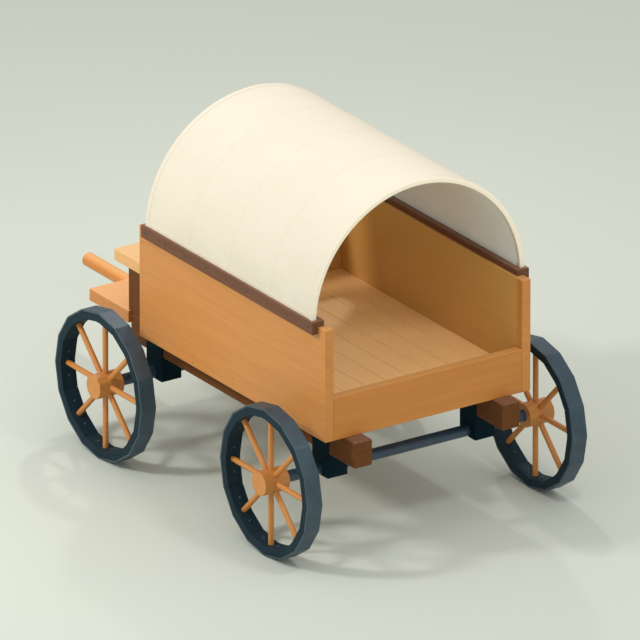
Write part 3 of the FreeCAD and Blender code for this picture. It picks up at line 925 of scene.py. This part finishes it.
def fitSeat():
    size = fittingSizes
    seat, foot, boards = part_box("seat_board"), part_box("footboard"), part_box("seat_floor")
    riser, bearer = "seat_riser_left", "footboard_bearer_left"
    return [
        fitDown("seat_plugs", "peg", "seat_board",
                spaced(seat[0].x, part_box(riser)[1].x, size["seatPlugs"]),
                middleOf(riser).y, finishes["seatBoard"]),
        fitDown("footboard_plugs", "peg", "footboard",
                spaced(foot[0].x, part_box(bearer)[1].x, size["footPlugs"]),
                middleOf(bearer).y, finishes["footBoard"]),
        fitDown("seat_floor_nails", "nail", "seat_floor",
                spaced(boards[0].x, boards[1].x, size["seatNails"]),
                boards[1].y - size["seatNailIn"], nailFinish),
    ]


def fitGear():
    size, made = fittingSizes, []
    height, up, ahead = middleOf("sill_left").z, (0, 0, 1), (1, 0, 0)
    plates = []
    for wheel in wheels:
        node, side = "axle_block_" + wheel, 1 if wheel.endswith("left") else -1
        for off in (-size["boltPair"], size["boltPair"]):
            x = middleOf(node).x + off
            for start, way in ((side * beside, -side), (0, side)):
                plates.append(meet(node, (x, start, height), (0, way, 0)))
    for label, side in (("left", 1), ("right", -1)):
        node = "footboard_bearer_" + label
        for x in spaced(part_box(node)[0].x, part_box("sill_left")[1].x, size["bearerBolts"]):
            plates.append(meet(node, (x, 0, middleOf(node).z), (0, side, 0)))
    made.append(fit("gear_washers", "washer", plates, "wagon", gearFinish))
    seats = [(place + out * size["washerHigh"], out, Vector(up)) for place, out in plates]
    made.append(fit("gear_bolts", "squareHead", seats, "wagon", gearFinish))
    low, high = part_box("pole_hanger")
    seats = [meetSquare("pole_hanger", (x, y, size["hangerFrom"]), up, ahead)
             for y in spaced(low.y, high.y, size["hangerAcross"])
             for x in spaced(low.x, high.x, size["hangerAlong"])]
    front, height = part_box("pole_socket")[1].x, middleOf("pole").z
    seats += [meetSquare("pole_socket", (front - back, side, height), (0, -side, 0), ahead)
              for side in (-1, 1) for back in size["socketBolts"]]
    made.append(fit("pole_bolts", "squareHead", seats, "wagon", gearFinish))
    return made


def fitWheels():
    size, made = fittingSizes, []
    for wheel in wheels:
        middle = middleOf("tyre_" + wheel)
        heads, nuts = [], []
        for index in range(size["rimBolts"]):
            turn = math.tau * (index + 0.5) / size["rimBolts"]
            out = Vector((math.cos(turn), 0, math.sin(turn)))
            heads.append(meet("tyre_" + wheel, middle + out, -out))
            start = middle + out * size["nutsFrom"]
            nuts.append(meetSquare("felloes_" + wheel, start, out, (0, 1, 0)))
        body, finish = "wheel_" + wheel, finishes["tyres"]
        made.append(fit("tyre_bolts_" + wheel, "flushBolt", heads, body, finish))
        made.append(fit("felloe_nuts_" + wheel, "squareNut", nuts, body, finish))
    return made


pegWood = dict(oiledBoards, run="y", fibre=0.3, tone=tone(191, 126, 57), deep=tone(146, 89, 36))
darkBolts = dict(slateIron, tone=tone(61, 48, 43), deep=tone(42, 35, 33), worn=tone(104, 85, 73))
nailHeads = dict(slateIron, tone=tone(113, 83, 56), deep=tone(79, 58, 43), worn=tone(141, 109, 79))
gearBolts = dict(slateIron, tone=tone(30, 42, 50), deep=tone(20, 32, 40))
pegFinish = makeTimber("pegWood", pegWood)
darkBoltFinish = makePaintedIron("darkBolts", darkBolts)
nailFinish = makePaintedIron("nailHeads", nailHeads)
gearFinish = makePaintedIron("gearBolts", gearBolts)
fittings = fitBody() + fitSeat() + fitGear() + fitWheels()
print("fittings set,", len(fittings), "pieces")


# studio: a pale floor, soft light all round, a broad key lamp on the wagon's left,
# a small lamp high on its right front and one high behind it
studio = {
    "floorTone": (0.591, 0.626, 0.546, 1.0), "floorReach": 400.0,
    "floorMottle": 0.985,       # how far its darker patches go down
    "floorRough": 0.9, "floorShine": 0.1,
    "farTone": (0.498, 0.527, 0.460, 1.0),      # the floor far away, in the soft light alone
    "level": 0.842,             # soft light from all round
    "aim": (0.0, 0.0, 0.9),     # where every lamp points
    "lamps": {
        "keyLamp": {"place": (1.6, 8.0, 7.4), "size": 1.5, "power": 432.0},
        "backLamp": {"place": (3.32, -2.89, 6.54), "size": 0.45, "power": 93.0},
        "rearLamp": {"place": (-4.8, -0.2, 6.2), "size": 0.9, "power": 68.0},
    },
}


def addLamp(name, setup, aim):
    lamp = bpy.data.lights.new(name, "AREA")
    lamp.shape = "DISK"
    lamp.size = setup["size"]
    lamp.energy = setup["power"]
    holder = bpy.data.objects.new(name, lamp)
    bpy.context.scene.collection.objects.link(holder)
    holder.location = setup["place"]
    holder.rotation_mode = "QUATERNION"
    holder.rotation_quaternion = (Vector(aim) - Vector(setup["place"])).to_track_quat("-Z", "Y")
    holder.visible_camera = False


def buildStudio(setup):
    floorMesh = bpy.data.meshes.new("studioFloor")
    reach = setup["floorReach"]
    corners = [(-reach, -reach, 0), (reach, -reach, 0), (reach, reach, 0), (-reach, reach, 0)]
    floorMesh.from_pydata(corners, [], [(0, 1, 2, 3)])
    floor = bpy.data.objects.new("studioFloor", floorMesh)
    bpy.context.scene.collection.objects.link(floor)
    material, tree, surface, place = startMaterial("studioFloor")
    mottle = remap(tree, noise(tree, place, scale=0.25)["Fac"], 0.3, 0.7)
    shade = tuple(channel * setup["floorMottle"] for channel in setup["floorTone"][:3]) + (1.0,)
    feed(tree, surface, {
        "Base Color": blendColours(tree, mottle, setup["floorTone"], shade),
        "Roughness": setup["floorRough"], "Specular IOR Level": setup["floorShine"]})
    floorMesh.materials.append(material)
    for name, lamp in setup["lamps"].items():
        addLamp(name, lamp, setup["aim"])

    world = bpy.data.worlds.new("studioWorld")
    bpy.context.scene.world = world
    world.use_nodes = True
    tree = world.node_tree
    tree.nodes.clear()
    rays = addNode(tree, "ShaderNodeLightPath").outputs
    direct = reckon(tree, "MAXIMUM", rays["Is Camera Ray"], rays["Is Transmission Ray"])
    direct = reckon(tree, "MAXIMUM", direct, rays["Is Glossy Ray"])
    white = (1.0, 1.0, 1.0, 1.0)
    ambient = addNode(tree, "ShaderNodeBackground", {"Color": white, "Strength": setup["level"]})
    far = addNode(tree, "ShaderNodeBackground", {"Color": setup["farTone"], "Strength": 1.0})
    mix = addNode(tree, "ShaderNodeMixShader", {
        0: direct, 1: ambient.outputs[0], 2: far.outputs[0]})
    addNode(tree, "ShaderNodeOutputWorld", {"Surface": mix.outputs[0]})


buildStudio(studio)
print("studio built")
